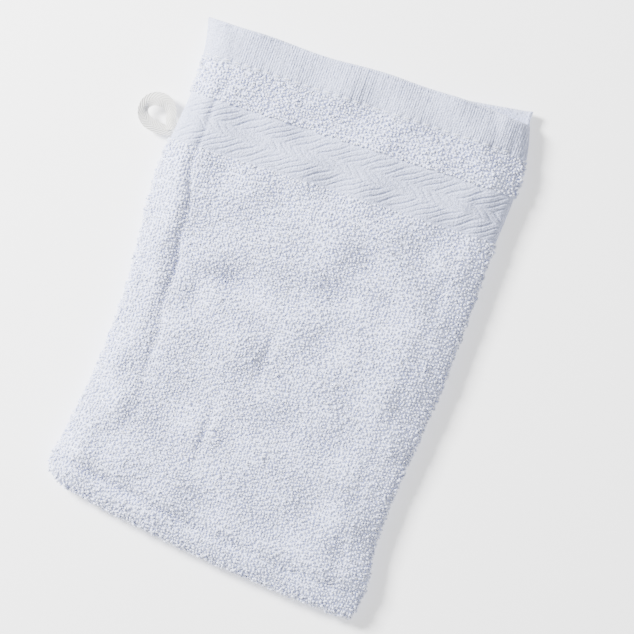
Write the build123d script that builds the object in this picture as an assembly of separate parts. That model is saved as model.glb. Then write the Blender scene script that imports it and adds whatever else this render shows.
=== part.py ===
from build123d import *
import math
import os

# A terry wash mitt: a flat bag of towelling with an open mouth and a hanging loop in one side seam.
# Millimetres. +Z is up, +Y runs along the mitt to its mouth and +X runs across it.
# The mitt lies on its back panel.
# The origin is on the back panel's underside, halfway along the mitt and halfway across it.

# Overall size and outline
mitt_width = 148.0  # across the mitt, seam to seam at the mouth
mitt_length = 227.5  # mouth edge to closed end, on the middle line
mouth_slant = 4.7  # how much further up the mouth edge ends at the right than at the left
end_rise = 9.5  # how much shorter the mitt is at its left corner than on the middle line
end_drop = 3.2  # how much longer it is at its right corner
corner_radius = 8.0  # rounded left corner of the closed end
# Where each side seam wanders: (share of the side's length from the mouth, how far inside a straight side)
left_draws = ((0.07, 3.2), (0.31, 1.3), (0.57, 5.8), (0.84, 4.6))
right_draws = ((0.07, -4.4), (0.27, -4.4), (0.46, -4.2), (0.72, -0.4), (0.86, 0.2), (0.94, -2.0))

# Cloth build
terry_thickness = 4.0  # ground cloth with loop pile on both faces
border_thickness = 2.2  # dobby border, woven without pile
hem_layer = 1.2  # one layer of the hem: flat ground cloth, folded once and stitched
hem_depth = 17.0  # mouth edge to the end of the hem
band_depth = 17.0  # pile between the hem and the border
border_depth = 22.0  # dobby border

# The hand pocket between the two panels
pocket_gap = 6.0  # free height in the middle, lying flat and empty
edge_rise = 5.0  # distance from a seam at which the front panel has reached half of that height
edge_softness = 2.2  # how gradual that rise is
body_clearance = 0.3  # between pieces that move apart

# Seam allowances: both panels' edges, sewn together and turned inside the mitt
side_allowance = 13.0
end_allowance = 10.0
allowance_height = 3.4  # above the back panel
mouth_setback = 1.0  # the side allowances end this far short of the mouth edge

# Thread
thread = 0.6  # width of one stitch or overlock bar
stitch_height = 0.4
stitch_sink = 0.1  # how far a stitch is pulled into the cloth
stitch_length = 3.0
stitch_pitch = 4.6
stitch_inset = 1.6  # from the end of the hem back to its row of stitches
bar_length = 3.6
bar_pitch = 4.0

# Hanging loop, made of one flat woven tape
tape_width = 7.0
tape_thickness = 0.8
tail_length = 9.0  # of the tape's tails inside the seam
loop_from_mouth = 53.75  # mouth edge to where the tape enters the seam, beside the flat border
loop_diameter = 17.6
loop_offset = 5.0  # the loop lies this much further up than its neck
eye_length = 7.6  # the loop's eye, across the mitt
eye_width = 5.0  # and along it
hinge_gap = 1.3  # the loop swings about a line this far outside the side seam

half_width = mitt_width / 2
half_length = mitt_length / 2
loop_along = half_length - loop_from_mouth
mid_cloth = terry_thickness / 2
front_base = terry_thickness + body_clearance
tall = 10 * terry_thickness  # taller than everything


def side_points(side, top, bottom, draws):
    """Points down one side seam, from the mouth to the closed end; side is -1 for left and 1 for right."""
    points = [(side * half_width, top)]
    for share, draw in draws:
        points.append((side * (half_width - draw), top + share * (bottom - top)))
    points.append((side * half_width, bottom))
    return points


def outline_face():
    """The mitt's outline: a long bag, cut a little askew, with a rounded corner at the closed end's left."""
    top_left = half_length - mouth_slant / 2
    top_right = half_length + mouth_slant / 2
    low_left = -half_length + end_rise
    low_right = -half_length - end_drop
    left = Spline(*side_points(-1, top_left, low_left + corner_radius, left_draws))
    right = Spline(*side_points(1, top_right, low_right, right_draws))
    centre = Vector(-half_width + corner_radius, low_left + corner_radius)
    halfway = centre + Vector(-corner_radius, 0).rotate(Axis.Z, 45)
    corner = ThreePointArc(left @ 1, halfway, (centre.X, low_left))
    end = Spline(corner @ 1, (-0.2 * half_width, -half_length + 0.22 * end_rise), right @ 1)
    mouth = Line(left @ 0, right @ 0)
    return make_face(Curve() + [left, corner, end, right, mouth])


def mouth_strip(gap, depth):
    """A flat strip across the mitt, parallel to the mouth edge and gap below it."""
    angle = math.degrees(math.atan2(mouth_slant, mitt_width))
    at_mouth = Pos(0, half_length) * Rot(Z=angle)
    return at_mouth * Pos(0, -gap - depth / 2) * Rectangle(2 * mitt_width, depth)


def share_of_gap(distance):
    """How much of the pocket's height is reached at a distance from a seam: 0 outside, 1 well inside."""
    return 1 / (1 + math.exp((edge_rise - distance) / edge_softness))


def crown(from_left, from_right, from_end):
    """Height of the front panel's inner face: low at the seams, crowned in the middle, open at the mouth."""
    shares = share_of_gap(from_left) * share_of_gap(from_right) * share_of_gap(from_end)
    return front_base + pocket_gap * shares


def front_height(outline, x, y):
    """Height of the front panel's inner face at a point inside the outline."""
    return crown(x - edge_x(outline, y, -1), edge_x(outline, y, 1) - x, y - edge_y(outline, x))


def front_columns():
    """Places across the mitt where the front panel's height is worked out, closest together at the seams."""
    outer = half_width + 2 * edge_rise
    inner = half_width - 4 * edge_rise
    steps = math.ceil((outer - inner) / edge_softness)
    side = [inner + number * (outer - inner) / steps for number in range(steps + 1)]
    return [-x for x in reversed(side)] + [-inner / 2, 0, inner / 2] + side


def front_stations():
    """Places along the mitt where its cross-section is worked out, closest together near the closed end."""
    start = -half_length - end_drop - edge_softness
    dense_end = -half_length + end_rise + 3 * edge_rise
    steps = math.ceil((dense_end - start) / edge_softness)
    stations = [start + number * (dense_end - start) / steps for number in range(steps + 1)]
    long_steps = math.ceil((half_length + mouth_slant - dense_end) / hem_depth)
    long_step = (half_length + mouth_slant - dense_end) / long_steps
    return stations + [dense_end + (number + 1) * long_step for number in range(long_steps)]


def front_grid(outline):
    """Points of the front panel's inner face, one row for each station, wider and longer than the mitt."""
    columns = front_columns()
    widest = half_width - corner_radius
    lows = [edge_y(outline, min(max(x, -widest), widest)) for x in columns]
    lowest = -half_length + end_rise + corner_radius
    highest = half_length - mouth_slant
    grid = []
    for y in front_stations():
        inside_y = min(max(y, lowest), highest)
        left = edge_x(outline, inside_y, -1)
        right = edge_x(outline, inside_y, 1)
        grid.append([Vector(x, y, crown(x - left, right - x, y - low)) for x, low in zip(columns, lows)])
    return grid


def between(grid, low, high):
    """The solid between two copies of the front panel's inner face, moved up by low and by high."""
    sections = []
    for row in grid:
        bottom = Spline(*[point + Vector(0, 0, low) for point in row])
        top = Spline(*[point + Vector(0, 0, high) for point in row])
        ends = [Line(bottom @ 0, top @ 0), Line(bottom @ 1, top @ 1)]
        sections.append(make_face(Curve() + [bottom, top] + ends))
    return loft(sections, ruled=True)


def flat_layer(region, low, high):
    """One layer of the back panel."""
    return Pos(0, 0, low) * extrude(region, high - low)


def crowned_layer(grid, region, low, high):
    """One layer of the front panel: it follows the crowned face."""
    return between(grid, low, high) & extrude(region, tall)


def allowance_region(outline, shift, keep):
    """The strip that the outline leaves when it is moved inwards, cut to one side of the mitt."""
    return (outline - Pos(*shift) * outline) & keep


def seam_allowance(region, under_front, others):
    """Two turned-in cloth edges: they fill the room between the panels, up to their own height."""
    block = Pos(0, 0, mid_cloth) * extrude(region, terry_thickness + allowance_height - mid_cloth)
    allowance = block & under_front
    for other in others:
        allowance -= other
    return allowance


def bar_row(reach, along, bar):
    """Overlock bars, evenly spaced from one end of reach to the other, on top of an allowance."""
    first, last = reach
    count = max(int((last - first) / bar_pitch), 1)
    top = terry_thickness + allowance_height
    bars = []
    for number in range(count + 1):
        x, y = along(first + number * bar_pitch)
        bars.append(Pos(x, y, top) * bar)
    return Compound(children=bars)


def edge_x(outline, y, side):
    """Where a side seam is at height y: side is -1 for the left one and 1 for the right one."""
    cut = outline & Pos(0, y) * Rectangle(4 * mitt_width, thread)
    box = cut.bounding_box()
    return box.min.X if side < 0 else box.max.X


def edge_y(outline, x):
    """Where the closed end's seam is at x."""
    cut = outline & Pos(x, 0) * Rectangle(thread, 4 * mitt_length)
    return cut.bounding_box().min.Y


def stitch_row(outline, height, tilt, facing):
    """One row of hem stitches along the mouth edge; facing is 1 for the front panel, -1 for the back."""
    slope = mouth_slant / mitt_width
    middle_y = half_length - hem_depth + stitch_inset
    first = edge_x(outline, middle_y, -1) + stitch_length
    last = edge_x(outline, middle_y, 1) - stitch_length
    count = int((last - first) / stitch_pitch)
    start = (first + last - count * stitch_pitch) / 2
    stitch = Box(stitch_length, thread, stitch_height)
    lift = facing * (stitch_height / 2 - stitch_sink)
    stitches = []
    for number in range(count + 1):
        x = start + number * stitch_pitch
        y = middle_y + slope * x
        turn = Rot(Y=-tilt(x, y)) * Rot(Z=math.degrees(math.atan(slope)))
        stitches.append(Pos(x, y, height(x, y) + lift) * turn * stitch)
    return Compound(children=stitches)


def front_tilt(outline, x, y):
    """How steeply the front panel slopes across the mitt at a point, in degrees."""
    rise = front_height(outline, x + thread, y) - front_height(outline, x - thread, y)
    return math.degrees(math.atan2(rise, 2 * thread))


def hanging_tape(neck_x):
    """The loop of tape as it lies: a flat ring with an eye, and a neck that runs to the side seam."""
    thickness = 2 * tape_thickness
    ring_x = neck_x - loop_diameter / 2
    ring = Pos(ring_x, loop_along + loop_offset) * Circle(loop_diameter / 2)
    neck = Pos(neck_x - loop_diameter / 4, loop_along) * Rectangle(loop_diameter / 2, tape_width)
    eye = Pos(ring_x, loop_along + loop_offset) * SlotOverall(eye_length, eye_width)
    flat = ring + neck - eye
    return Pos(0, 0, terry_thickness + body_clearance / 2 - thickness / 2) * extrude(flat, thickness)


def tape_tails(seam_x):
    """The tape's two tails, one on the other, caught between the panels inside the seam."""
    thickness = 2 * tape_thickness
    inner = seam_x + hinge_gap + tail_length
    base = Pos(inner - tail_length / 2, loop_along) * Rectangle(tail_length, tape_width)
    return Pos(0, 0, terry_thickness) * extrude(base, thickness)


outline = outline_face()
grid = front_grid(outline)
hem_region = outline & mouth_strip(0, hem_depth)
band_region = outline & mouth_strip(hem_depth, band_depth)
border_region = outline & mouth_strip(hem_depth + band_depth, border_depth)
zone_depth = hem_depth + band_depth + border_depth
field_region = outline & mouth_strip(zone_depth, 2 * mitt_length)

border_low = mid_cloth - border_thickness / 2
border_high = mid_cloth + border_thickness / 2
hem_low = mid_cloth - hem_layer
hem_high = mid_cloth + hem_layer

parts = {
    "back_terry_field": flat_layer(field_region, 0, terry_thickness),
    "back_dobby_border": flat_layer(border_region, border_low, border_high),
    "back_terry_band": flat_layer(band_region, 0, terry_thickness),
    "back_hem": flat_layer(hem_region, hem_low, mid_cloth),
    "back_hem_turn_in": flat_layer(hem_region, mid_cloth, hem_high),
    "front_terry_field": crowned_layer(grid, field_region, 0, terry_thickness),
    "front_dobby_border": crowned_layer(grid, border_region, border_low, border_high),
    "front_terry_band": crowned_layer(grid, band_region, 0, terry_thickness),
    "front_hem": crowned_layer(grid, hem_region, mid_cloth, hem_high),
    "front_hem_turn_in": crowned_layer(grid, hem_region, hem_low, mid_cloth),
}

# The loop hangs clear of the side seam over its whole width
loop_span = Pos(0, loop_along + loop_offset) * Rectangle(4 * mitt_width, loop_diameter)
seam_x = (outline & loop_span).bounding_box().min.X
loop_axis_x = seam_x - hinge_gap
parts["hanging_tape"] = hanging_tape(loop_axis_x - body_clearance)
parts["tape_tails"] = tape_tails(edge_x(outline, loop_along, -1))

# Seam allowances stand on the back panel's layers and leave room for the tape's tails
back_layers = [solid for name, solid in parts.items() if name.startswith("back_")]
left_half = Pos(-mitt_width, 0) * Rectangle(2 * mitt_width, 4 * mitt_length)
right_half = Pos(mitt_width, 0) * Rectangle(2 * mitt_width, 4 * mitt_length)
end_reach = -half_length + end_rise + end_allowance
end_side = Pos(0, end_reach - mitt_length) * Rectangle(4 * mitt_width, 2 * mitt_length)
below_mouth = mouth_strip(mouth_setback, 2 * mitt_length)
end_region = allowance_region(outline, (0, end_allowance), end_side)
left_region = allowance_region(outline, (side_allowance, 0), left_half & below_mouth) - end_region
right_region = allowance_region(outline, (-side_allowance, 0), right_half & below_mouth) - end_region
left_others = back_layers + [parts["tape_tails"]]
under_front = between(grid, -tall, -body_clearance)
parts["left_seam_allowance"] = seam_allowance(left_region, under_front, left_others)
parts["right_seam_allowance"] = seam_allowance(right_region, under_front, back_layers)
parts["end_seam_allowance"] = seam_allowance(end_region, under_front, back_layers)

# Overlock thread, as bars over the inner edge of each allowance
bar_in = side_allowance - bar_length / 2
side_bar = Pos(0, 0, stitch_height / 2 - stitch_sink) * Box(bar_length, thread, stitch_height)
end_bar = Pos(0, 0, stitch_height / 2 - stitch_sink) * Box(thread, bar_length, stitch_height)
side_reach = (-half_length + 2 * end_allowance, half_length - mouth_slant - bar_pitch)
end_span = (-half_width + 2 * side_allowance, half_width - 2 * side_allowance)
parts["left_overlock_thread"] = bar_row(
    side_reach, lambda y: (edge_x(outline, y, -1) + bar_in, y), side_bar)
parts["right_overlock_thread"] = bar_row(
    side_reach, lambda y: (edge_x(outline, y, 1) - bar_in, y), side_bar)
parts["end_overlock_thread"] = bar_row(
    end_span, lambda x: (x, edge_y(outline, x) + end_allowance - bar_length / 2), end_bar)

# Hem stitches show on the outer face of each panel
parts["front_hem_stitching"] = stitch_row(
    outline, lambda x, y: front_height(outline, x, y) + hem_high, lambda x, y: front_tilt(outline, x, y), 1)
parts["back_hem_stitching"] = stitch_row(outline, lambda x, y: hem_low, lambda x, y: 0, -1)

os.makedirs("parts", exist_ok=True)
for name, solid in parts.items():
    export_step(solid, f"parts/{name}.step")
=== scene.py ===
"""Looks of a terry wash mitt in its fixed frame: towelling panels, hems, stitches, pile and hanging tape."""

import math

import bpy
import numpy as np
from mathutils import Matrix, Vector


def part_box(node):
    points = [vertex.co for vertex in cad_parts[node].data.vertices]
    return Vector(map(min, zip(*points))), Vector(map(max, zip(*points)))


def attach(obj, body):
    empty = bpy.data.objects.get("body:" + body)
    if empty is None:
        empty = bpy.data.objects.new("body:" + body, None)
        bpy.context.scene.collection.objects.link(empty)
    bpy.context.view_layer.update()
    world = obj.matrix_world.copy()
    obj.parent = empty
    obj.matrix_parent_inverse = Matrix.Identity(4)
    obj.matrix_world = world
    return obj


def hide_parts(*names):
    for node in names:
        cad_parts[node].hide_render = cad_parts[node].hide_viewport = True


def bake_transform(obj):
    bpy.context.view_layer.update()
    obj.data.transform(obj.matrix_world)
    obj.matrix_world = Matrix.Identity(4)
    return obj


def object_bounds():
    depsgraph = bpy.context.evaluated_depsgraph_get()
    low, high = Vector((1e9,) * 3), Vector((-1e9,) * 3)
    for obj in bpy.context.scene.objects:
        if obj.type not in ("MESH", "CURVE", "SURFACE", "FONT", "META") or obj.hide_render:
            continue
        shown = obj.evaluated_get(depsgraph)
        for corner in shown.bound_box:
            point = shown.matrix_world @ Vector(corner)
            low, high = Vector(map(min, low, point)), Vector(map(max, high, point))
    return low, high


bl_info = {
    "name": "Terry Wash Mitt",
    "version": (1, 0, 0),
    "blender": (4, 5, 0),
    "location": "View3D > Sidebar > Wash Mitt",
    "description": "Builds a terry wash mitt with loop pile, dobby border, hems and hanging loop",
    "category": "Object",
}

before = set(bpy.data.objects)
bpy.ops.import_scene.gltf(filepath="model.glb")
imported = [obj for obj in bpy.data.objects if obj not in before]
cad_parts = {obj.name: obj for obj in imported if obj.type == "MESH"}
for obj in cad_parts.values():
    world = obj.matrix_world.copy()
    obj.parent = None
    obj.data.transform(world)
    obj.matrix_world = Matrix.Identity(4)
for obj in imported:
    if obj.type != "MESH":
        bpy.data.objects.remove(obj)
CAD_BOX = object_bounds()

MM = 0.001
OUTER_BACK_NODES = ("back_terry_field", "back_dobby_border", "back_terry_band", "back_hem")
OUTWARD = {"front": 1, "back": -1}  # the way each panel's outer face looks, along Z
HALF_WORD = {-1: "_left", 0: "", 1: "_right"}  # name ending of each half of a panel, by side

HEM_OUTER, HEM_INNER = 3.2 * MM, 0.8 * MM  # how far the hem's two layers lie from the panel's inner face
STITCH_ROW = 1.2 * MM  # from the hem's end to its row of stitches
SIDE_ALLOWANCE, END_ALLOWANCE = 13 * MM, 10 * MM  # widths of the turned-in edges
MOST_TRIANGLES = 185000  # in one piece of pile
SWELL_STRENGTH = 1.45

# Soft dents and swells of the front panel as it lies: (across, along, half across, half along, height), in mm
SWELLS = (
    (-27, 4, 22, 6, -2.6),
    (-22, 16, 20, 7, 0.8),
    (-38, -4, 5, 9, -1.2),
    (26, 16, 20, 6, -2.4),
    (42, 20, 8, 9, -1.0),
    (16, 42, 18, 12, 1.9),
    (38, -49, 28, 10, -1.7),
    (-14, -20, 24, 12, 1.6),
    (-14, -62, 1.8, 15, -0.9),
    (12, -62, 24, 14, 1.2),
    (54, -14, 10, 24, 1.2),
    (-58, -79, 7, 8, -1.4),
    (-53, -62, 5, 9, 1.2),
    (-56, -46, 5, 9, -1.4),
    (-61, -12, 4, 14, -1.0),
    (-30, -84, 20, 8, 1.1),
    (10, -96, 40, 8, -0.9),
    (40, 84, 24, 8, 0.9),
    (-20, 80, 20, 8, -0.7),
    (0, -20, 2, 12, -0.6),
    (56, 52, 8, 16, -1.0),
    (-6, 66, 30, 7, 0.9),
    (-58, 30, 4, 20, 0.7),
)


# --- Sizes and colours that a user would change ---------------------------------------------------


class ClothSettings(bpy.types.PropertyGroup):
    """Build of the towelling."""

    pile_pitch: bpy.props.FloatProperty(
        name="Pile pitch", description="Spacing of the pile loops", default=1.3 * MM, unit="LENGTH")
    pile_height: bpy.props.FloatProperty(
        name="Pile height", description="How far a loop stands out of the ground cloth", default=0.75 * MM,
        unit="LENGTH")
    yarn: bpy.props.FloatProperty(
        name="Pile yarn", description="Thickness of the pile yarn", default=0.92 * MM, unit="LENGTH")
    pile_cover: bpy.props.FloatProperty(
        name="Pile cover", description="Share of the cloth's cells that hold a loop", default=1.0)
    hem_rib: bpy.props.FloatProperty(
        name="Hem rib", description="Spacing of the fine ribs of the hem", default=1.1 * MM, unit="LENGTH")
    float_pitch: bpy.props.FloatProperty(
        name="Float pitch", description="Spacing of the border's slanting floats", default=4.9 * MM,
        unit="LENGTH")
    float_relief: bpy.props.FloatProperty(
        name="Float relief", description="How far the border's floats stand out", default=0.9 * MM,
        unit="LENGTH")


class TapeSettings(bpy.types.PropertyGroup):
    """Hanging tape and thread."""

    width: bpy.props.FloatProperty(
        name="Tape width", description="Width of the hanging tape", default=7.0 * MM, unit="LENGTH")
    thickness: bpy.props.FloatProperty(
        name="Tape thickness", description="Thickness of the hanging tape", default=0.8 * MM, unit="LENGTH")
    thread: bpy.props.FloatProperty(
        name="Thread", description="Thickness of the sewing thread", default=0.5 * MM, unit="LENGTH")
    stitch_pitch: bpy.props.FloatProperty(
        name="Stitch pitch", description="Spacing of the hem stitches", default=4.6 * MM, unit="LENGTH")


class ColourSettings(bpy.types.PropertyGroup):
    """Colours, as sRGB hex values."""

    pile: bpy.props.StringProperty(
        name="Pile", description="Bleached cotton of the pile loops", default="D9DFFD")
    flat_cloth: bpy.props.StringProperty(
        name="Flat cloth", description="Bleached cotton where it is woven flat", default="CBD2EF")
    tape: bpy.props.StringProperty(
        name="Tape", description="Unbleached cotton of the hanging tape", default="DAD9D6")
    thread: bpy.props.StringProperty(
        name="Thread", description="Sewing thread", default="D8DBE6")
    floor: bpy.props.StringProperty(
        name="Floor", description="Plain pale floor", default="FAFAFA")


class StageSettings(bpy.types.PropertyGroup):
    """Camera and light."""

    turn: bpy.props.FloatProperty(
        name="Turn", description="How far the mitt lies turned in the view", default=math.radians(19.9),
        subtype="ANGLE")
    view_width: bpy.props.FloatProperty(
        name="View width", description="Width of the view on the floor", default=0.279, unit="LENGTH")
    distance: bpy.props.FloatProperty(
        name="Distance", description="Height of the camera above the mitt", default=1.4, unit="LENGTH")
    key_power: bpy.props.FloatProperty(
        name="Key power", description="Power of the light at the upper left, in watts", default=86.0)
    fill_power: bpy.props.FloatProperty(
        name="Fill power", description="Power of the soft light at the right, in watts", default=8.0)
    sky_strength: bpy.props.FloatProperty(
        name="Sky strength", description="Strength of the even light all round", default=0.62)


# --- The mitt's outline and its cloth surfaces, read from the frame -------------------------------


class Outline:
    """The seam line round the mitt: sides as x over y, closed end as y over x, mouth edge straight."""

    def __init__(self):
        points = []
        for name in OUTER_BACK_NODES:
            points += [tuple(v.co[:2]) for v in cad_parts[name].data.vertices]
        points = np.unique(np.round(np.array(points), 6), axis=0)
        x, y = points[:, 0], points[:, 1]
        reach = 0.8 * x.max()
        left, right = points[x < -reach], points[x > reach]
        self.top_left = left[left[:, 1].argmax()]
        self.top_right = right[right[:, 1].argmax()]
        corner = right[right[:, 1].argmin()]
        low_left = left[left[:, 1].argmin()]
        side = right[right[:, 0] > corner[0] - 0.6 * MM]
        self.left = left[left[:, 1].argsort()]
        self.right = side[side[:, 1].argsort()]
        end = points[(y < low_left[1] + 8.5 * MM) & (x <= corner[0] + 0.1 * MM)]
        end = end[(end[:, 1] < 0.9 * y.min()) | (end[:, 0] < -reach)]
        self.end = end[end[:, 0].argsort()]
        self.slope = (self.top_right[1] - self.top_left[1]) / (self.top_right[0] - self.top_left[0])
        low = {name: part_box(name)[0] for name in ("back_hem", "back_terry_band", "back_dobby_border")}
        self.hem_depth = self.top_left[1] - low["back_hem"].y
        self.band_end = self.top_left[1] - low["back_terry_band"].y
        self.border_end = self.top_left[1] - low["back_dobby_border"].y

    def left_x(self, y):
        return np.interp(y, self.left[:, 1], self.left[:, 0])

    def right_x(self, y):
        return np.interp(y, self.right[:, 1], self.right[:, 0])

    def end_y(self, x):
        return np.interp(x, self.end[:, 0], self.end[:, 1])

    def mouth_y(self, x):
        return self.top_left[1] + self.slope * (x - self.top_left[0])


outline = Outline()
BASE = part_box("back_terry_field")[1].z  # top of the back panel
SEAM_Z = BASE + 0.15 * MM  # the two panels meet here along the seams
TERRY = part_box("back_terry_field")[1].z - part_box("back_terry_field")[0].z
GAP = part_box("front_terry_field")[1].z - TERRY - BASE - 0.3 * MM  # free height inside
EDGE_ROUND = 4.2 * MM  # radius of the turned edge
PILE_SINK = 0.15 * MM  # how far the foot of a loop sits in the ground cloth


def share(distance):
    """How much of the pocket's height is reached at a distance from a seam."""
    return 1 / (1 + np.exp(np.clip((5 * MM - distance) / (2.8 * MM), -40, 40)))


def rounded(distance):
    """The turned edge's quarter round: 0 on the seam line, 1 past its radius."""
    inside = np.clip(distance / EDGE_ROUND, 0, 1)
    return np.sqrt(np.clip(1 - (1 - inside) ** 2, 0, 1))


def bump(value, middle, half):
    """A soft bump, 1 at its middle."""
    return np.exp(-((value - middle) / half) ** 2)


def drape(x, y):
    """How much the resting front panel stands above or below an even crown."""
    height = np.zeros_like(x)
    for across, along, half_x, half_y, rise in SWELLS:
        swell = SWELL_STRENGTH * rise * MM * bump(x, across * MM, half_x * MM)
        height += swell * bump(y, along * MM, half_y * MM)
    for number in range(9):
        angle = 2.4 * number + 0.5
        wave = (0.15 + 0.023 * number) / MM
        phase = 1.7 * number * number
        height += 0.24 * MM * np.sin(wave * (x * math.cos(angle) + y * math.sin(angle)) + phase)
    return height


def left_crease(y):
    """How far in from the left seam the turned-in edge underneath leaves its crease."""
    return np.interp(y, np.array([-110, -60, -25, 10, 60, 95, 120]) * MM,
                     np.array([17, 21, 20, 17, 14, 12, 10]) * MM)


def seam_ridges(from_left, from_right, from_end, x, y):
    """The turned-in edges push the cloth up beside the seams, and leave a crease along their inner side."""
    crease = left_crease(y)
    crease = crease + 1.4 * MM * np.sin(y / (13 * MM)) + 0.7 * MM * np.sin(y / (4.7 * MM) + 1)
    marked = np.interp(y, np.array([-80, -45, -25, 40, 75, 100]) * MM, [0.15, 0.45, 1, 1.1, 0.7, 0.1])
    marked = marked * (0.72 + 0.28 * np.sin(y / (6.5 * MM) + 1.2))
    groove = 1.0 * MM * bump(from_left, crease, 3 * MM) + 0.9 * MM * bump(from_left, crease, 1.0 * MM)
    height = 1.3 * MM * bump(from_left, 0.52 * crease, 0.42 * crease)
    height -= marked * groove
    height += 0.6 * MM * bump(from_right, 8 * MM, 5 * MM) - 0.5 * MM * bump(from_right, 15 * MM, 3 * MM)
    end = 0.8 * MM * bump(from_end, 5 * MM, 3.5 * MM) - 1.3 * MM * bump(from_end, 10.5 * MM, 2.4 * MM)
    end += 1.3 * MM * bump(from_end, 16 * MM, 4 * MM)
    height += end * np.interp(x, np.array([-40, 20]) * MM, [1.7, 0.8])
    return height


def front_z(x, y, lift):
    """Height of a layer of the front panel that lies lift above the panel's inner face."""
    from_left, from_right = x - outline.left_x(y), outline.right_x(y) - x
    from_end = y - outline.end_y(x)
    shares = share(from_left) * share(0.65 * from_right) * share(from_end)
    soft = np.clip(shares * 1.15, 0, 1)
    crown = BASE + 0.3 * MM + 0.75 * GAP * shares + lift
    crown = crown + drape(x, y) * soft + seam_ridges(from_left, from_right, from_end, x, y) * soft
    edge = rounded(from_left) * rounded(from_right) * rounded(from_end)
    return SEAM_Z + (crown - SEAM_Z) * edge


def back_z(x, y, drop):
    """Height of a layer of the back panel that lies drop below the panel's inner face."""
    from_left, from_right = x - outline.left_x(y), outline.right_x(y) - x
    edge = rounded(from_left) * rounded(from_right) * rounded(y - outline.end_y(x))
    return SEAM_Z - (SEAM_Z - BASE + drop) * edge


def layer_z(panel, x, y, lift):
    """Height of a layer of either panel that lies lift out from the panel's inner face."""
    return front_z(x, y, lift) if panel == "front" else back_z(x, y, lift)


def mouth_shift(x, panel):
    """The panels' mouth edges don't quite match: the back one shows past the front one towards the right."""
    past = np.clip((x - 26 * MM) / (50 * MM), 0, 1)
    wave = 0.5 * MM * np.sin(x / (17 * MM)) + 0.35 * MM * np.sin(x / (7.3 * MM) + 1)
    if panel == "back":
        return 5.2 * MM * past ** 1.2 - 1.2 * MM * (1 - past)
    return wave - 0.6 * MM * past


def edge_spacing(total, step):
    """Distances from a seam, evenly spaced along the cloth round the turned edge and on across the flat."""
    fine = np.linspace(0, total, 4000)
    rise = rounded(fine) * EDGE_ROUND
    run = np.concatenate([[0], np.cumsum(np.hypot(np.diff(fine), np.diff(rise)))])
    count = max(int(round(run[-1] / step)), 2)
    return np.interp(np.linspace(0, run[-1], count + 1), run, fine)


def zone_points(side, zone, step_x, step_y, panel):
    """Points of a zone as rows across the cloth. side is -1 for the left half, 1 for the right, 0 for all."""
    half = outline.top_right[0]
    from_seam = edge_spacing(half, step_x) / half
    if side:
        across = -1 + from_seam if side < 0 else 1 - from_seam[::-1]
    else:
        across = np.concatenate([-1 + from_seam, 1 - from_seam[::-1][1:]])
    if zone == "field":
        length = outline.top_left[1] - outline.border_end - outline.end[:, 1].min()
        along = edge_spacing(length, step_y) / length
    else:
        near, far = {
            "hem": (0, outline.hem_depth),
            "band": (outline.hem_depth, outline.band_end),
            "border": (outline.band_end, outline.border_end),
        }[zone]
        rows = max(int(round((far - near) / step_y)), 2)
        along = np.linspace(0, 1, rows + 1)
    u, v = np.meshgrid(across, along)
    x = u * half
    y = np.zeros_like(x)
    for _ in range(4):
        if zone == "field":
            low, high = outline.end_y(x), outline.mouth_y(x) - outline.border_end
        else:
            low, high = outline.mouth_y(x) - far, outline.mouth_y(x) - near
        if zone == "hem":
            high = high + mouth_shift(x, panel)
        y = low + v * (high - low)
        left, right = outline.left_x(y), outline.right_x(y)
        x = np.where(u < 0, -u * left, u * right)
    return x, y


# --- Mesh helpers ---------------------------------------------------------------------------------


def deselect():
    bpy.ops.object.select_all(action="DESELECT")


def pick(piece):
    """Selects one piece alone and makes it the active one."""
    deselect()
    piece.select_set(True)
    bpy.context.view_layer.objects.active = piece


def unit(vectors):
    """Each vector scaled to a length of 1."""
    return vectors / (np.linalg.norm(vectors, axis=-1, keepdims=True) + 1e-12)


def ring_faces(rings, sides):
    """Four-sided faces between a tube's rings of corners."""
    faces = []
    for row in range(rings - 1):
        low, high = row * sides, (row + 1) * sides
        for number in range(sides):
            after = (number + 1) % sides
            faces.append((low + number, low + after, high + after, high + number))
    return np.array(faces)


def sheet_from(name, x, y, z, up=True):
    """A grid primitive with its corners laid on the given points, and a UV map in metres along the cloth."""
    deselect()
    rows, columns = x.shape
    bpy.ops.mesh.primitive_grid_add(
        x_subdivisions=columns - 1, y_subdivisions=rows - 1, size=1, calc_uvs=True, location=(0, 0, 0))
    piece = bpy.context.object
    piece.name = piece.data.name = name
    mesh = piece.data
    mesh.vertices.foreach_set("co", np.stack([x, y, z], -1).astype(np.float32).ravel())
    loops = np.zeros(len(mesh.loops), np.int32)
    mesh.loops.foreach_get("vertex_index", loops)
    flat = np.stack([x.ravel(), y.ravel()], -1)[loops]
    mesh.uv_layers[0].data.foreach_set("uv", flat.astype(np.float32).ravel())
    if not up:
        mesh.flip_normals()
    mesh.update()
    bpy.ops.object.shade_smooth()
    return piece


def apply_modifier(piece, kind, **settings):
    """Adds one modifier with its settings and applies it."""
    pick(piece)
    modifier = piece.modifiers.new(kind.title(), kind)
    for key, value in settings.items():
        setattr(modifier, key, value)
    bpy.ops.object.modifier_apply(modifier=modifier.name)
    if kind == "SOLIDIFY":
        bpy.ops.object.shade_smooth_by_angle(angle=math.radians(60))


def mesh_from(name, points, quads):
    """A mesh piece from arrays of corners and four-sided faces."""
    mesh = bpy.data.meshes.new(name)
    mesh.vertices.add(len(points))
    mesh.vertices.foreach_set("co", points.astype(np.float32).ravel())
    mesh.loops.add(quads.size)
    mesh.loops.foreach_set("vertex_index", quads.astype(np.int32).ravel())
    mesh.polygons.add(len(quads))
    mesh.polygons.foreach_set("loop_start", np.arange(0, quads.size, 4, dtype=np.int32))
    mesh.polygons.foreach_set("use_smooth", np.ones(len(quads), bool))
    mesh.update(calc_edges=True)
    piece = bpy.data.objects.new(name, mesh)
    bpy.context.scene.collection.objects.link(piece)
    return piece


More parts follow.
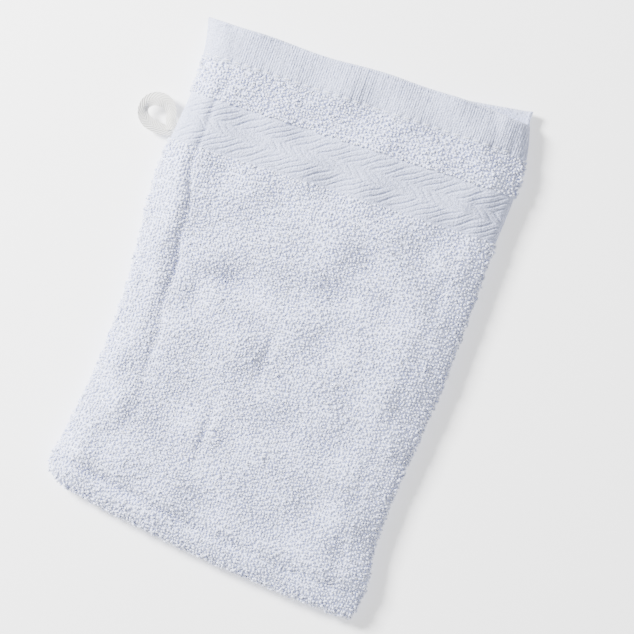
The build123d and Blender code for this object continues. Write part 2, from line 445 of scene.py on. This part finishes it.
def thread_tube(path, radius, sides=6):
    """Corners and faces of a thread along a path, drawn in at both ends."""
    tangent = unit(np.gradient(path, axis=0))
    up = np.array([0.0, 0.0, 1.0])
    if abs(tangent[0] @ up) > 0.9:
        up = np.array([0.0, 1.0, 0.0])
    side = unit(np.cross(tangent, up))
    lift = np.cross(side, tangent)
    radii = np.full(len(path), radius)
    radii[0] = radii[-1] = radius * 0.35
    angles = np.arange(sides) * 2 * math.pi / sides
    ring = np.cos(angles)[None, :, None] * side[:, None, :] + np.sin(angles)[None, :, None] * lift[:, None, :]
    points = (path[:, None, :] + ring * radii[:, None, None]).reshape(-1, 3)
    return points, ring_faces(len(path), sides)


def ride_panel(piece, panel):
    """Back cloth stays put on the back body. Front cloth only gets its placement baked into its mesh."""
    if panel == "back":
        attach(piece, "back")
        return
    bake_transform(piece)


# --- Materials ------------------------------------------------------------------------------------


def linear(text):
    """An sRGB hex value as a linear colour."""
    values = [int(text[number:number + 2], 16) / 255 for number in (0, 2, 4)]
    return [v / 12.92 if v <= 0.04045 else ((v + 0.055) / 1.055) ** 2.4 for v in values] + [1.0]


def add(tree, kind, settings=None, links=None):
    """Adds one node, sets its properties and inputs, and links its inputs."""
    node = tree.nodes.new(kind)
    for key, value in (settings or {}).items():
        if isinstance(key, str) and hasattr(node, key):
            setattr(node, key, value)
        else:
            node.inputs[key].default_value = value
    for key, socket in (links or {}).items():
        tree.links.new(socket, node.inputs[key])
    return node


def cloth_material(name, colour, roughness, sheen):
    """A matt cotton surface with its shader, object coordinates and UV coordinates ready to be detailed."""
    material = bpy.data.materials.new(name)
    material.use_nodes = True
    tree = material.node_tree
    shader = tree.nodes["Principled BSDF"]
    shader.inputs["Base Color"].default_value = linear(colour)
    shader.inputs["Roughness"].default_value = roughness
    shader.inputs["IOR"].default_value = 1.45
    shader.inputs["Specular IOR Level"].default_value = 0.25
    shader.inputs["Sheen Weight"].default_value = sheen
    shader.inputs["Sheen Roughness"].default_value = 0.6
    shader.inputs["Subsurface Weight"].default_value = 0.35
    shader.inputs["Subsurface Radius"].default_value = (1.0, 1.0, 1.0)
    shader.inputs["Subsurface Scale"].default_value = 0.7 * MM
    return material, tree, shader, add(tree, "ShaderNodeTexCoord")


def tint(tree, shader, vector, colour, size, amount):
    """Slight unevenness of the bleached colour, over patches of the given size."""
    noise = add(tree, "ShaderNodeTexNoise", {"Scale": 1 / size, "Detail": 3.0}, {"Vector": vector})
    ramp = add(tree, "ShaderNodeValToRGB", links={"Fac": noise.outputs["Fac"]})
    base = linear(colour)
    ramp.color_ramp.elements[0].position = 0.3
    ramp.color_ramp.elements[1].position = 0.7
    ramp.color_ramp.elements[0].color = [v * (1 - amount) for v in base[:3]] + [1.0]
    ramp.color_ramp.elements[1].color = base
    tree.links.new(ramp.outputs["Color"], shader.inputs["Base Color"])


def looped_cotton():
    """Terry pile of bleached two-ply cotton: soft, matt and fuzzy, the ply's twist just visible close up."""
    colours = bpy.context.scene.mitt_colours
    material, tree, shader, place = cloth_material("Looped_cotton_pile", colours.pile, 0.95, 0.25)
    tint(tree, shader, place.outputs["Object"], colours.pile, 9 * MM, 0.03)
    shader.inputs["Subsurface Weight"].default_value = 0.65
    shader.inputs["Subsurface Scale"].default_value = 1.2 * MM
    fuzz = add(tree, "ShaderNodeTexNoise", {"Scale": 1 / (0.3 * MM), "Detail": 2.0},
               {"Vector": place.outputs["Object"]})
    relief = add(tree, "ShaderNodeBump", {"Strength": 0.5, "Distance": 0.08 * MM},
                 {"Height": fuzz.outputs["Fac"]})
    tree.links.new(relief.outputs["Normal"], shader.inputs["Normal"])
    return material


def woven_cotton(name, thread_pitch, strength):
    """Plain woven bleached cotton: warp and weft cross as a fine even grain, a little smoother than pile."""
    colours = bpy.context.scene.mitt_colours
    material, tree, shader, place = cloth_material(name, colours.flat_cloth, 0.85, 0.15)
    tint(tree, shader, place.outputs["Object"], colours.flat_cloth, 2 * MM, 0.06)
    scale = math.pi / thread_pitch
    warp = add(tree, "ShaderNodeTexWave", {"bands_direction": "X", "Scale": scale / 10, "Distortion": 0.6,
                                           "Detail": 1.0}, {"Vector": place.outputs["UV"]})
    weft = add(tree, "ShaderNodeTexWave", {"bands_direction": "Y", "Scale": scale / 10, "Distortion": 0.6,
                                           "Detail": 1.0}, {"Vector": place.outputs["UV"]})
    cross = add(tree, "ShaderNodeMath", {"operation": "MULTIPLY"},
                {0: warp.outputs["Fac"], 1: weft.outputs["Fac"]})
    slubs = add(tree, "ShaderNodeTexNoise", {"Scale": 1 / (0.9 * MM), "Detail": 2.0, "Roughness": 0.6},
                {"Vector": place.outputs["Object"]})
    uneven = add(tree, "ShaderNodeBump", {"Strength": 1.0, "Distance": 1.3 * MM},
                 {"Height": slubs.outputs["Fac"]})
    relief = add(tree, "ShaderNodeBump", {"Strength": strength, "Distance": 0.15 * MM},
                 {"Height": cross.outputs["Value"], "Normal": uneven.outputs["Normal"]})
    tree.links.new(relief.outputs["Normal"], shader.inputs["Normal"])
    return material


def twill_tape():
    """Cotton tape, loom woven in herringbone: warmer than the bleached cloth, with fine slanting ribs."""
    colours = bpy.context.scene.mitt_colours
    material, tree, shader, place = cloth_material("Woven_cotton_tape", colours.tape, 0.8, 0.15)
    tint(tree, shader, place.outputs["Object"], colours.tape, 3 * MM, 0.04)
    mirror = add(tree, "ShaderNodeVectorMath", {"operation": "ABSOLUTE"}, {0: place.outputs["UV"]})
    ribs = add(tree, "ShaderNodeTexWave", {"bands_direction": "DIAGONAL", "Scale": 420.0, "Distortion": 1.5},
               {"Vector": mirror.outputs["Vector"]})
    relief = add(tree, "ShaderNodeBump", {"Strength": 0.9, "Distance": 0.25 * MM},
                 {"Height": ribs.outputs["Fac"]})
    tree.links.new(relief.outputs["Normal"], shader.inputs["Normal"])
    return material


def spun_thread():
    """Spun polyester sewing thread: smooth and a little brighter than the cloth, with a fine ply twist."""
    colours = bpy.context.scene.mitt_colours
    material, tree, shader, place = cloth_material("Spun_sewing_thread", colours.thread, 0.7, 0.1)
    tint(tree, shader, place.outputs["Object"], colours.thread, 2 * MM, 0.05)
    ply = add(tree, "ShaderNodeTexNoise", {"Scale": 1 / (0.2 * MM), "Detail": 1.0},
              {"Vector": place.outputs["Object"]})
    relief = add(tree, "ShaderNodeBump", {"Strength": 0.4, "Distance": 0.05 * MM},
                 {"Height": ply.outputs["Fac"]})
    tree.links.new(relief.outputs["Normal"], shader.inputs["Normal"])
    return material


MATERIAL_MAKERS = {
    "terry_towelling": looped_cotton,
    "dobby_border_cloth": lambda: woven_cotton("Dobby_woven_cotton", 0.45 * MM, 0.7),
    "hem_cloth": lambda: woven_cotton("Plain_woven_cotton_hem", 0.5 * MM, 0.7),
    "sewing_thread": spun_thread,
    "woven_tape": twill_tape,
}
made_materials = {}


def finish_piece(piece, slot):
    """Gives a piece the material made for the record's slot."""
    if slot not in made_materials:
        made_materials[slot] = MATERIAL_MAKERS[slot]()
    piece.data.materials.clear()
    piece.data.materials.append(made_materials[slot])
    return piece


# --- Terry pile -----------------------------------------------------------------------------------


def loop_shapes(generator, steps, count=7):
    """A few shapes of one pile loop, one unit high: a yarn that rises, turns over and comes back down."""
    shapes = []
    for _ in range(count):
        t = np.linspace(0, 1, steps + 1)
        swell = generator.uniform(0.25, 0.42)
        foot = generator.uniform(0.12, 0.22)
        wide = foot + (swell - foot) * np.sin(math.pi * t)
        a = -wide * np.cos(math.pi * t) * 1.5
        b = generator.uniform(-0.2, 0.2) * np.sin(2 * math.pi * t) + generator.uniform(-0.3, 0.3) * t
        n = np.sin(math.pi * t) ** 0.75
        shapes.append(np.stack([a, b, n], -1))
    return np.array(shapes)


def pile_on(name, x, y, z, outward, seed, height, steps):
    """One loop of yarn in each cell of a grid of cloth points, standing out of the cloth."""
    generator = np.random.default_rng(seed)
    cloth = bpy.context.scene.mitt_cloth
    grid = np.stack([x, y, z], -1)
    corner = grid[:-1, :-1]
    across, along = grid[:-1, 1:] - corner, grid[1:, :-1] - corner
    cells = corner.shape[0] * corner.shape[1]
    across, along, corner = across.reshape(-1, 3), along.reshape(-1, 3), corner.reshape(-1, 3)
    jitter = (generator.uniform(0.28, 0.72, (cells, 1)), generator.uniform(0.12, 0.88, (cells, 1)))
    normal = unit(np.cross(across, along)) * outward
    place = corner + jitter[0] * across + jitter[1] * along - normal * PILE_SINK
    chosen = generator.uniform(0, 1, cells) < cloth.pile_cover
    place, normal, across = place[chosen], normal[chosen], across[chosen]
    count = len(place)
    weft = unit(across)
    warp = np.cross(normal, weft)
    turn = generator.uniform(-1.25, 1.25, count)[:, None]
    first = weft * np.cos(turn) + warp * np.sin(turn)
    second = np.cross(normal, first)
    lean_angle = generator.uniform(0, 2 * math.pi, count)[:, None]
    lean = (weft * np.cos(lean_angle) + warp * np.sin(lean_angle)) * generator.uniform(0, 0.7, count)[:, None]
    shapes = loop_shapes(generator, steps)
    shape = shapes[generator.integers(0, len(shapes), count)]
    tall = height * generator.uniform(0.8, 1.12, count)
    inside = np.minimum(place[:, 0] - outline.left_x(place[:, 1]), outline.right_x(place[:, 1]) - place[:, 0])
    inside = np.minimum(inside, place[:, 1] - outline.end_y(place[:, 0]))
    tall *= 1 + 1.3 * bump(inside, 0, 2.6 * MM) * generator.uniform(0, 1, count) ** 2
    tall *= np.where(generator.uniform(0, 1, count) > 0.992, 1.7, 1)
    tall = tall[:, None, None]
    path = place[:, None, :] + tall * (
        shape[:, :, 0:1] * first[:, None, :]
        + shape[:, :, 1:2] * second[:, None, :]
        + shape[:, :, 2:3] * normal[:, None, :]
        + shape[:, :, 2:3] ** 2 * lean[:, None, :])
    return yarn_tubes(name, path, second, cloth.yarn / 2 * generator.uniform(0.85, 1.15, count))


def yarn_tubes(name, path, across, radius):
    """Short four-sided tubes along many paths at once."""
    count, rings, _ = path.shape
    tangent = unit(np.gradient(path, axis=1))
    side = unit(np.cross(tangent, np.cross(across[:, None, :], tangent)))
    lift = np.cross(tangent, side)
    angles = np.arange(4) * math.pi / 2 + math.pi / 4
    ring = (np.cos(angles)[None, None, :, None] * side[:, :, None, :]
            + np.sin(angles)[None, None, :, None] * lift[:, :, None, :])
    points = path[:, :, None, :] + ring * radius[:, None, None, None]
    first_corners = np.arange(count) * rings * 4
    quads = (ring_faces(rings, 4)[None] + first_corners[:, None, None]).reshape(-1, 4)
    return mesh_from(name, points.reshape(-1, 3), quads)


def pile_pieces(name, points, panel, outward, seed, height, steps=6):
    """Pile on a grid of cloth, in as many pieces along the cloth as keep each one light."""
    x, y, z = points
    rows, columns = x.shape
    triangles = (rows - 1) * (columns - 1) * steps * 8
    chunks = max(math.ceil(triangles / MOST_TRIANGLES), 1)
    cuts = np.linspace(0, rows - 1, chunks + 1).round().astype(int)
    pieces = []
    for number in range(chunks):
        part = slice(cuts[number], cuts[number + 1] + 1)
        label = name if chunks == 1 else f"{name}_{number + 1}"
        piece = pile_on(label, x[part], y[part], z[part], outward, seed + number, height, steps)
        finish_piece(piece, "terry_towelling")
        ride_panel(piece, panel)
        pieces.append(piece)
    return pieces


# --- Weaves of the smooth zones -------------------------------------------------------------------


def border_relief(x, y):
    """Raised slanting floats in two rows, with a plaited row between them that slants the other way."""
    cloth = bpy.context.scene.mitt_cloth
    depth = outline.border_end - outline.band_end
    down = outline.mouth_y(x) - outline.band_end - y
    share_down = down / depth
    angle = math.radians(32)
    spacing = cloth.float_pitch * math.sin(angle)

    def strand(value):
        return 1 - (2 * (value % 1) - 1) ** 2

    def floats(slant, offset, strands):
        waver = 0.5 * MM * np.sin(x / (5.3 * MM) + 9 * share_down) + 0.25 * MM * np.sin(x / (1.9 * MM) + 2)
        p = (-x * math.sin(angle) * slant - down * math.cos(angle) + offset + waver) / spacing
        return 0.62 * strand(p) + 0.38 * strand(p * strands)

    def row(middle, half):
        return np.clip(1 - np.abs((share_down - middle) / half) ** 3, 0, 1)

    edge = 1 - np.clip(np.abs(share_down - 0.5) * 2, 0, 1) ** 12
    upper = floats(1, 0, 2) * row(0.22, 0.24)
    lower = floats(1, 1.3 * MM, 2) * row(0.78, 0.24)
    middle = floats(-1, 0.6 * MM, 2) * row(0.5, 0.15) * 0.95
    weave = 0.12 * np.cos(2 * math.pi * x / (0.9 * MM)) * np.cos(2 * math.pi * down / (0.9 * MM))
    return cloth.float_relief * edge * (np.maximum(np.maximum(upper, lower), middle) + weave)


def hem_relief(x, y):
    """Fine ribs along the mitt, uneven from rib to rib, and pulled in where each stitch goes through."""
    cloth = bpy.context.scene.mitt_cloth
    tape = bpy.context.scene.mitt_tape
    generator = np.random.default_rng(7)
    uneven = generator.uniform(0.3, 1.3, x.shape)
    uneven = (uneven + np.roll(uneven, 1, 0) + np.roll(uneven, 1, 1) + np.roll(uneven, -1, 0)) / 4
    slubs = generator.uniform(0.5, 1.5, x.shape[1])[None, :]
    inside = np.clip((x - outline.left_x(y) - 10 * MM) / (8 * MM), 0.35, 1)
    ribs = 0.17 * MM * np.cos(2 * math.pi * x / cloth.hem_rib) * uneven * slubs * inside
    ribs += 0.05 * MM * np.cos(2 * math.pi * x / (3.7 * cloth.hem_rib) + 1)
    ribs += 0.13 * MM * np.cos(2 * math.pi * y / (2.1 * MM) + x / (2 * MM)) * uneven * inside
    down = outline.mouth_y(x) - y
    row = bump(down, outline.hem_depth - STITCH_ROW, 1.0 * MM)
    hole = bump((x / tape.stitch_pitch) % 1, 0.5, 0.17)
    fold_line = 0.3 * MM * bump(down, 1.8 * MM, 0.6 * MM)
    return ribs - fold_line - row * (0.25 + 0.75 * hole) * 0.6 * MM


# --- Pieces ---------------------------------------------------------------------------------------

LAYERS = {
    # zone: (how far the outer face lies from the panel's inner face, thickness of the cloth, slot, node)
    "field": (2.5 * MM, 0.9 * MM, "terry_towelling", "terry_field"),
    "band": (2.5 * MM, 0.9 * MM, "terry_towelling", "terry_band"),
    "border": (2.7 * MM, 1.2 * MM, "dobby_border_cloth", "dobby_border"),
}


def panel_zone(panel, side, zone):
    """The ground cloth of one zone, with its weave's relief, and its pile where it has any."""
    cloth = bpy.context.scene.mitt_cloth
    lift, thick, slot, node = LAYERS[zone]
    fine = zone == "border"
    step = 0.36 * MM if fine else cloth.pile_pitch
    wide_step = step if panel == "front" else 1.5 * step
    x, y = zone_points(side, zone, wide_step, wide_step, panel)
    z = layer_z(panel, x, y, lift)
    outward = OUTWARD[panel]
    if fine:
        from_seam = np.minimum(x - outline.left_x(y), outline.right_x(y) - x)
        z = z + outward * border_relief(x, y) * np.clip(from_seam / (2 * MM), 0, 1)
    word = HALF_WORD[side]
    sheet = sheet_from(f"{panel}_{node}_cloth{word}", x, y, z, up=panel == "front")
    apply_modifier(sheet, "SOLIDIFY", thickness=thick, offset=-1, use_even_offset=not fine)
    finish_piece(sheet, slot)
    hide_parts(f"{panel}_{node}")
    ride_panel(sheet, panel)
    pile = []
    if not fine:
        seed = {"front": 10, "back": 50}[panel] + 10 * (side + 1) + (5 if zone == "band" else 0)
        pile = pile_pieces(f"{panel}_{node}_pile{word}", (x, y, z), panel, outward, seed,
                           cloth.pile_height * (1.12 if zone == "band" else 1))
        wide_step = 2.3 * cloth.pile_pitch
        inner_x, inner_y = zone_points(side, zone, wide_step, wide_step, panel)
        inner = (inner_x, inner_y, layer_z(panel, inner_x, inner_y, lift - thick))
        pile += pile_pieces(f"{panel}_{node}_inner_pile{word}", inner, panel, -outward, seed + 100,
                            0.8 * cloth.pile_height, steps=4)


def hem_pieces(panel, side):
    """The hem: its outer layer folds over at the mouth edge and runs back inside as the turn-in."""
    fold = 1.2 * MM
    fine = 0.28 * MM if panel == "front" else 0.4 * MM
    for label, lift, step in (("hem", HEM_OUTER, fine), ("hem_turn_in", HEM_INNER, 0.7 * MM)):
        x, y = zone_points(side, "hem", step, max(step, 0.5 * MM), panel)
        z = layer_z(panel, x, y, lift)
        if label == "hem":
            z += OUTWARD[panel] * hem_relief(x, y)
        bend = np.clip((y - (y[-1:] - fold)) / fold, 0, 1)
        centre = layer_z(panel, x, y, 0.5 * (HEM_OUTER + HEM_INNER))
        round_off = np.sqrt(np.clip(1 - bend ** 2, 0, 1))
        z = centre + (z - centre) * round_off
        up = (panel == "front") == (label == "hem")
        piece = sheet_from(f"{panel}_{label}_cloth{HALF_WORD[side]}", x, y, z, up=up)
        apply_modifier(piece, "SOLIDIFY", thickness=0.7 * MM, offset=-1, use_even_offset=False)
        finish_piece(piece, "hem_cloth")
        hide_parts(f"{panel}_{label}")
        ride_panel(piece, panel)


def hem_stitches(panel, side):
    """Short runs of thread along the end of the hem, each drawn down into the cloth at its two ends."""
    tape = bpy.context.scene.mitt_tape
    half = outline.top_right[0]
    count = int(half / tape.stitch_pitch) - 1
    down = outline.hem_depth - STITCH_ROW
    all_points, all_quads, total = [], [], 0
    numbers = [n for n in range(-count, count + 1) if side == 0 or (n + 0.5) * side >= 0]
    t = np.linspace(-1, 1, 9)
    for number in numbers:
        x = number * tape.stitch_pitch + t * 0.36 * tape.stitch_pitch
        y = outline.mouth_y(x) - down
        z = layer_z(panel, x, y, HEM_OUTER) + OUTWARD[panel] * (0.1 * MM - 0.75 * MM * np.abs(t) ** 3)
        points, quads = thread_tube(np.stack([x, y, z], -1), tape.thread / 2)
        all_points.append(points)
        all_quads.append(quads + total)
        total += len(points)
    name = f"{panel}_hem_stitches{HALF_WORD[side]}"
    piece = mesh_from(name, np.concatenate(all_points), np.concatenate(all_quads))
    finish_piece(piece, "sewing_thread")
    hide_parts(f"{panel}_hem_stitching")
    ride_panel(piece, panel)


def seam_inside(name, side):
    """A turned-in seam allowance: both panels' raw edges together inside the mitt, as one rounded strip."""
    thick = 3.0 * MM
    if side:
        wide = SIDE_ALLOWANCE
        y = np.linspace(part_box(name)[0].y + 1 * MM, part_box(name)[1].y - 0.5 * MM, 150)
        seam = outline.left_x(y) if side < 0 else outline.right_x(y)
        along = np.stack([seam, y], -1)
        inward = np.array([-side, 0.0])
    else:
        wide = END_ALLOWANCE
        x = np.linspace(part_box(name)[0].x + 8 * MM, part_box(name)[1].x - 5 * MM, 110)
        along = np.stack([x, outline.end_y(x)], -1)
        inward = np.array([0.0, 1.0])
    t = np.linspace(0, 2 * math.pi, 24, endpoint=False)
    reach = (0.55 - 0.45 * np.cos(t)) * wide
    reach = np.clip(reach, 1.2 * MM, wide)
    level = np.sin(t) * np.abs(np.sin(t)) ** -0.4 * np.clip((reach - 0.5 * MM) / (6 * MM), 0.1, 1)
    level = np.nan_to_num(level)
    points = np.zeros((len(along), len(t), 3))
    points[:, :, :2] = along[:, None, :] + reach[None, :, None] * inward[None, None, :]
    points[:, :, 2] = BASE + 0.2 * MM + 0.5 * thick * (level[None, :] + 1)
    quads = ring_faces(len(along), len(t))
    piece = mesh_from(name.replace("allowance", "turn_in"), points.reshape(-1, 3), quads)
    pick(piece)
    bpy.ops.object.mode_set(mode="EDIT")
    bpy.ops.mesh.select_all(action="SELECT")
    bpy.ops.mesh.fill_holes(sides=0)
    bpy.ops.mesh.normals_make_consistent(inside=False)
    bpy.ops.object.mode_set(mode="OBJECT")
    finish_piece(piece, "terry_towelling")
    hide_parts(name)
    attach(piece, "back")


def overlock(name, side):
    """Overlock thread: a zigzag of thread that wraps over the raw edge of a seam allowance."""
    tape = bpy.context.scene.mitt_tape
    low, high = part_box(name)
    pitch = 4 * MM
    wide = 3.4 * MM
    if side:
        count = int((high.y - low.y) / pitch)
        t = np.linspace(0, count, count * 8 + 1)
        y = low.y + t * pitch
        seam = outline.left_x(y) if side < 0 else outline.right_x(y)
        x = seam - side * (SIDE_ALLOWANCE - wide * (0.5 + 0.5 * np.cos(2 * math.pi * t)))
    else:
        count = int((high.x - low.x) / pitch)
        t = np.linspace(0, count, count * 8 + 1)
        x = low.x + t * pitch
        y = outline.end_y(x) + END_ALLOWANCE - wide * (0.5 + 0.5 * np.cos(2 * math.pi * t))
    z = BASE + 3.3 * MM - 1.4 * MM * (0.5 - 0.5 * np.cos(2 * math.pi * t)) ** 2
    points, quads = thread_tube(np.stack([x, y, z], -1), tape.thread / 2)
    piece = mesh_from(name.replace("_thread", "_stitches"), points, quads)
    finish_piece(piece, "sewing_thread")
    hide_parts(name)
    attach(piece, "back")


def hanging_tape():
    """The loop: one tape that leaves the seam, curves round flat, folds over itself and comes back."""
    tape = bpy.context.scene.mitt_tape
    low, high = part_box("hanging_tape")
    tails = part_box("tape_tails")
    middle_x = low.x + 0.5 * (high.y - low.y) + 1.0 * MM
    middle_y = 0.5 * (low.y + high.y) - 0.7 * MM
    # Stations round the loop, as (turn in degrees, radius in mm, level in mm, roll in degrees, width share)
    stations = (
        (-30, 10.0, 0.45, 0, 0.75), (-22, 8.2, 0.45, 4, 0.75), (-8, 6.3, 0.45, 14, 0.76),
        (20, 6.1, 0.5, 16, 0.8), (54, 5.9, 0.6, 6, 0.95), (92, 5.7, 0.7, -8, 1.05),
        (130, 6.0, 0.6, -4, 0.95), (165, 6.3, 0.7, 22, 0.82), (190, 6.3, 0.5, 30, 0.8),
        (218, 5.9, 0.0, 10, 0.84), (252, 5.6, -0.4, -6, 0.9), (292, 6.2, -0.5, -6, 0.84),
        (318, 8.6, -0.45, 0, 0.76), (327, 10.1, -0.45, 0, 0.75),
    )
    values = np.array(stations)
    fine = np.linspace(0, len(stations) - 1, 120)
    index = np.arange(len(stations))
    turn, radius, level, roll, width = (np.interp(fine, index, values[:, n]) for n in range(5))
    kernel = np.hanning(15) / np.hanning(15).sum()

    def smooth(line):
        padded = np.concatenate([2 * line[0] - line[7:0:-1], line, 2 * line[-1] - line[-2:-9:-1]])
        return np.convolve(padded, kernel, mode="valid")

    lines = (np.radians(turn), radius, level, roll, width)
    turn, radius, level, roll, width = (smooth(line) for line in lines)
    radius = radius * 1.03 * MM
    path = np.stack([middle_x + radius * np.cos(turn), middle_y + radius * np.sin(turn),
                     SEAM_Z + level * MM], -1)
    tangent = np.gradient(path, axis=0)
    tangent /= np.linalg.norm(tangent, axis=1)[:, None]
    flat = np.cross(tangent, [0.0, 0.0, 1.0])
    flat /= np.linalg.norm(flat, axis=1)[:, None]
    upright = np.cross(flat, tangent)
    angle = np.radians(roll)[:, None]
    across = flat * np.cos(angle) + upright * np.sin(angle)
    normal = np.cross(across, tangent)
    columns = np.linspace(-0.5, 0.5, 15)
    cup = 0.22 * MM * np.cos(math.pi * columns * 2)
    reach = columns[None, :, None] * 0.88 * tape.width * width[:, None, None]
    grid = path[:, None, :] + across[:, None, :] * reach + normal[:, None, :] * cup[None, :, None]
    piece = sheet_from("hanging_tape_loop", grid[:, :, 0], grid[:, :, 1], grid[:, :, 2])
    run = np.concatenate([[0], np.cumsum(np.linalg.norm(np.diff(path, axis=0), axis=1))])
    loops = np.zeros(len(piece.data.loops), np.int32)
    piece.data.loops.foreach_get("vertex_index", loops)
    across_tape, along_tape = np.meshgrid(columns * tape.width, run)
    uv = np.stack([across_tape, along_tape], -1).reshape(-1, 2)[loops]
    piece.data.uv_layers[0].data.foreach_set("uv", uv.astype(np.float32).ravel())
    apply_modifier(piece, "SOLIDIFY", thickness=tape.thickness, offset=0, use_even_offset=True)
    apply_modifier(piece, "BEVEL", width=0.15 * MM, segments=2, limit_method="ANGLE",
                   angle_limit=math.radians(50))
    apply_modifier(piece, "SUBSURF", levels=1, render_levels=1)
    finish_piece(piece, "woven_tape")
    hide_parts("hanging_tape")
    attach(piece, "hanging_loop")
    x, y = np.meshgrid(np.linspace(tails[0].x, tails[1].x, 12), np.linspace(tails[0].y, tails[1].y, 10))
    tail = sheet_from("tape_tails_in_seam", x, y, np.full_like(x, 0.5 * (tails[0].z + tails[1].z)))
    apply_modifier(tail, "SOLIDIFY", thickness=2 * tape.thickness, offset=0)
    apply_modifier(tail, "BEVEL", width=0.2 * MM, segments=2)
    finish_piece(tail, "woven_tape")
    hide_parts("tape_tails")
    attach(tail, "back")


def stage():
    """A plain pale floor, soft studio light from the upper left and a camera that looks straight down."""
    settings = bpy.context.scene.mitt_stage
    colours = bpy.context.scene.mitt_colours
    deselect()
    bpy.ops.mesh.primitive_plane_add(size=6, location=(0, 0, CAD_BOX[0].z - 0.4 * MM))
    floor = bpy.context.object
    floor.name = "floor"
    material = bpy.data.materials.new("Matt_white_floor")
    material.use_nodes = True
    shader = material.node_tree.nodes["Principled BSDF"]
    shader.inputs["Base Color"].default_value = linear(colours.floor)
    shader.inputs["Roughness"].default_value = 0.9
    shader.inputs["Emission Color"].default_value = (1, 1, 1, 1)
    shader.inputs["Emission Strength"].default_value = 0.6
    floor.data.materials.append(material)

    turn = settings.turn
    right = Vector((math.cos(turn), math.sin(turn), 0))
    up = Vector((-math.sin(turn), math.cos(turn), 0))
    world = bpy.data.worlds.new("Studio")
    bpy.context.scene.world = world
    world.use_nodes = True
    sky = world.node_tree.nodes["Background"]
    sky.inputs["Color"].default_value = (1, 1, 1, 1)
    sky.inputs["Strength"].default_value = settings.sky_strength

    def soft_light(name, place, size, power):
        data = bpy.data.lights.new(name, "AREA")
        data.size = size
        data.energy = power
        lamp = bpy.data.objects.new(name, data)
        bpy.context.scene.collection.objects.link(lamp)
        lamp.location = place
        lamp.rotation_euler = (-place).to_track_quat("-Z", "Y").to_euler()

    soft_light("key", -0.85 * right + 0.6 * up + Vector((0, 0, 0.7)), 0.35, settings.key_power)
    soft_light("fill", 0.9 * right - 0.5 * up + Vector((0, 0, 1.3)), 1.2, settings.fill_power)

    data = bpy.data.cameras.new("camera")
    camera = bpy.data.objects.new("camera", data)
    bpy.context.scene.collection.objects.link(camera)
    aim = 15.7 * MM * right - 2.2 * MM * up
    camera.location = aim + Vector((0, 0, settings.distance))
    camera.rotation_euler = (0, 0, turn)
    data.sensor_width = 36
    data.lens = data.sensor_width * (settings.distance - 10 * MM) / settings.view_width
    data.clip_start, data.clip_end = 0.05, 20
    bpy.context.scene.camera = camera


# --- Operators ------------------------------------------------------------------------------------


class MITT_OT_stage(bpy.types.Operator):
    """Makes the floor, the lights and the camera"""

    bl_idname = "mitt.stage"
    bl_label = "Stage"

    def execute(self, context):
        stage()
        return {"FINISHED"}


class MITT_OT_back_panel(bpy.types.Operator):
    """Makes the back panel's terry field, terry band and dobby border"""

    bl_idname = "mitt.back_panel"
    bl_label = "Back Panel"

    def execute(self, context):
        for zone in LAYERS:
            panel_zone("back", 0, zone)
        return {"FINISHED"}


class MITT_OT_front_panel(bpy.types.Operator):
    """Makes the front panel's terry field, terry band and dobby border, in two halves"""

    bl_idname = "mitt.front_panel"
    bl_label = "Front Panel"

    def execute(self, context):
        for side in (-1, 1):
            for zone in LAYERS:
                panel_zone("front", side, zone)
        return {"FINISHED"}


class MITT_OT_hems(bpy.types.Operator):
    """Makes both panels' hems with their turn-ins and rows of stitches"""

    bl_idname = "mitt.hems"
    bl_label = "Hems"

    def execute(self, context):
        for panel, sides in (("back", (0,)), ("front", (-1, 1))):
            for side in sides:
                hem_pieces(panel, side)
                hem_stitches(panel, side)
        return {"FINISHED"}


class MITT_OT_seams(bpy.types.Operator):
    """Makes the turned-in seam allowances and the overlock thread over their raw edges"""

    bl_idname = "mitt.seams"
    bl_label = "Seams"

    def execute(self, context):
        for word, side in (("left", -1), ("right", 1), ("end", 0)):
            seam_inside(f"{word}_seam_allowance", side)
            overlock(f"{word}_overlock_thread", side)
        return {"FINISHED"}


class MITT_OT_hanging_tape(bpy.types.Operator):
    """Makes the hanging loop and its tails inside the seam"""

    bl_idname = "mitt.hanging_tape"
    bl_label = "Hanging Tape"

    def execute(self, context):
        hanging_tape()
        return {"FINISHED"}


STEPS = (MITT_OT_stage, MITT_OT_hanging_tape, MITT_OT_back_panel, MITT_OT_front_panel, MITT_OT_hems,
         MITT_OT_seams)


class MITT_PT_panel(bpy.types.Panel):
    """Sidebar panel with every step and setting of the mitt"""

    bl_label = "Wash Mitt"
    bl_idname = "MITT_PT_panel"
    bl_space_type = "VIEW_3D"
    bl_region_type = "UI"
    bl_category = "Wash Mitt"

    def draw(self, context):
        for step in STEPS:
            self.layout.operator(step.bl_idname)
        for settings in (context.scene.mitt_cloth, context.scene.mitt_tape, context.scene.mitt_colours,
                         context.scene.mitt_stage):
            box = self.layout.box()
            for name in settings.__annotations__:
                box.prop(settings, name)


SETTINGS = {"mitt_cloth": ClothSettings, "mitt_tape": TapeSettings, "mitt_colours": ColourSettings,
            "mitt_stage": StageSettings}


def register():
    for kind in (*SETTINGS.values(), *STEPS, MITT_PT_panel):
        bpy.utils.register_class(kind)
    for name, kind in SETTINGS.items():
        setattr(bpy.types.Scene, name, bpy.props.PointerProperty(type=kind))


def unregister():
    for name in SETTINGS:
        delattr(bpy.types.Scene, name)
    for kind in reversed((*SETTINGS.values(), *STEPS, MITT_PT_panel)):
        bpy.utils.unregister_class(kind)


def main():
    register()
    deselect()
    bpy.ops.mitt.stage()
    bpy.ops.mitt.hanging_tape()
    bpy.ops.mitt.back_panel()
    bpy.ops.mitt.front_panel()
    bpy.ops.mitt.hems()
    bpy.ops.mitt.seams()


if __name__ == "__main__":
    main()
